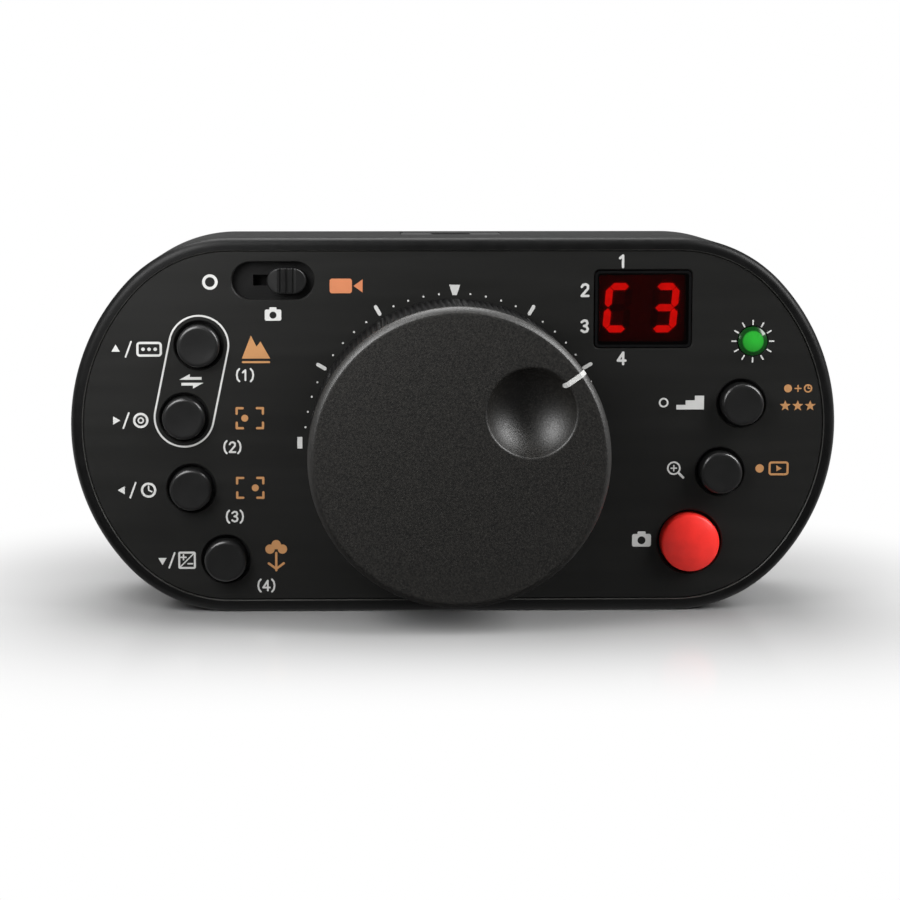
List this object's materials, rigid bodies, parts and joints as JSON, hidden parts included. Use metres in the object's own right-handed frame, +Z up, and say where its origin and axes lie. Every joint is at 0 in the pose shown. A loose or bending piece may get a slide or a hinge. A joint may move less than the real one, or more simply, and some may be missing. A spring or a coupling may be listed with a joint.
{
  "type": "focus demand",
  "caption": "Hand-held focus controller: a rounded two-shell box with a large knurled wheel, push buttons, a slide switch and a small digit display.",
  "frame": {"origin": "mouth of the tripod thread, in the middle of the flat bottom face", "axes": "+Z up, +X to the right along the long side, the control face looks along -Y"},
  "size_m": [0.1524, 0.049, 0.075],
  "materials": {
    "case_black": "fine satin moulding",
    "fascia_dark": "printed satin plate",
    "window_red": "dark red tinted",
    "display_block": "dull",
    "bar_lit": "lit bars of the digits",
    "bar_dark": "unlit bars of the digits",
    "lens_green": "clear green",
    "board_green": "solder mask",
    "chip_black": "moulded",
    "switch_black": "moulded",
    "contact_steel": "nickel plated",
    "screw_steel": "black oxide",
    "bush_brass": "turned",
    "port_black": "smooth",
    "wheel_black": "fine grained",
    "mark_white": "filled line",
    "knob_black": "satin",
    "cell_wrap": "plain printed sleeve",
    "release_red": "satin"
  },
  "bodies": {
    "housing": {"aa_cells": "cell_wrap", "board_parts": "chip_black", "board_screws": "screw_steel", "case_screws": "screw_steel", "contact_bridge": "contact_steel", "contact_pair": "contact_steel", "controller_chip": "chip_black", "display_lit": "bar_lit", "display_module": "display_block", "display_unlit": "bar_dark", "display_window": "window_red", "encoder_body": "contact_steel", "encoder_bush": "contact_steel", "encoder_nut": "contact_steel", "encoder_washer": "contact_steel", "fascia_panel": "fascia_dark", "front_case": "case_black", "main_board": "board_green", "mode_switch_body": "switch_black", "port_board": "board_green", "port_header": "switch_black", "port_pins": "contact_steel", "port_plate": "port_black", "rear_case": "case_black", "status_led": "lens_green", "status_lens": "lens_green", "tact_bases": "switch_black", "tripod_bush": "bush_brass", "usb_socket": "contact_steel"},
    "focus_wheel": {"wheel_drum": "wheel_black", "wheel_face": "wheel_black", "wheel_pointer": "mark_white", "wheel_insert": "bush_brass", "encoder_shaft": "contact_steel"},
    "mode_slider": {"mode_knob": "knob_black", "mode_lever": "switch_black"},
    "door": {"battery_door": "case_black"},
    "far_key": {"far_button": "knob_black", "far_plunger": "switch_black"},
    "up_key": {"up_button": "knob_black", "up_plunger": "switch_black"},
    "down_key": {"down_button": "knob_black", "down_plunger": "switch_black"},
    "near_key": {"near_button": "knob_black", "near_plunger": "switch_black"},
    "step_key": {"step_button": "knob_black", "step_plunger": "switch_black"},
    "magnify_key": {"magnify_button": "knob_black", "magnify_plunger": "switch_black"},
    "release_key": {"release_button": "release_red", "release_plunger": "switch_black"}
  },
  "joints": [
    {"name": "wheel_turn", "type": "hinge", "parent": "housing", "child": "focus_wheel", "pos_m": [0, -0.0143, 0.03425], "axis": [0, -1, 0], "continuous": true},
    {"name": "mode_slide", "type": "slide", "parent": "housing", "child": "mode_slider", "axis": [1, 0, 0], "range_m": [-0.0054, 0]},
    {"name": "door_swing", "type": "hinge", "parent": "housing", "child": "door", "pos_m": [0, 0.0145, 0.02075], "axis": [-1, 0, 0], "range_deg": [0, 45]},
    {"name": "far_press", "type": "slide", "parent": "housing", "child": "far_key", "axis": [0, 1, 0], "range_m": [0, 0.0005], "stiffness_N_per_m": 600},
    {"name": "up_press", "type": "slide", "parent": "housing", "child": "up_key", "axis": [0, 1, 0], "range_m": [0, 0.0005], "stiffness_N_per_m": 600},
    {"name": "down_press", "type": "slide", "parent": "housing", "child": "down_key", "axis": [0, 1, 0], "range_m": [0, 0.0005], "stiffness_N_per_m": 600},
    {"name": "near_press", "type": "slide", "parent": "housing", "child": "near_key", "axis": [0, 1, 0], "range_m": [0, 0.0005], "stiffness_N_per_m": 600},
    {"name": "step_press", "type": "slide", "parent": "housing", "child": "step_key", "axis": [0, 1, 0], "range_m": [0, 0.0005], "stiffness_N_per_m": 600},
    {"name": "magnify_press", "type": "slide", "parent": "housing", "child": "magnify_key", "axis": [0, 1, 0], "range_m": [0, 0.0005], "stiffness_N_per_m": 600},
    {"name": "release_press", "type": "slide", "parent": "housing", "child": "release_key", "axis": [0, 1, 0], "range_m": [0, 0.0006], "stiffness_N_per_m": 600}
  ]
}
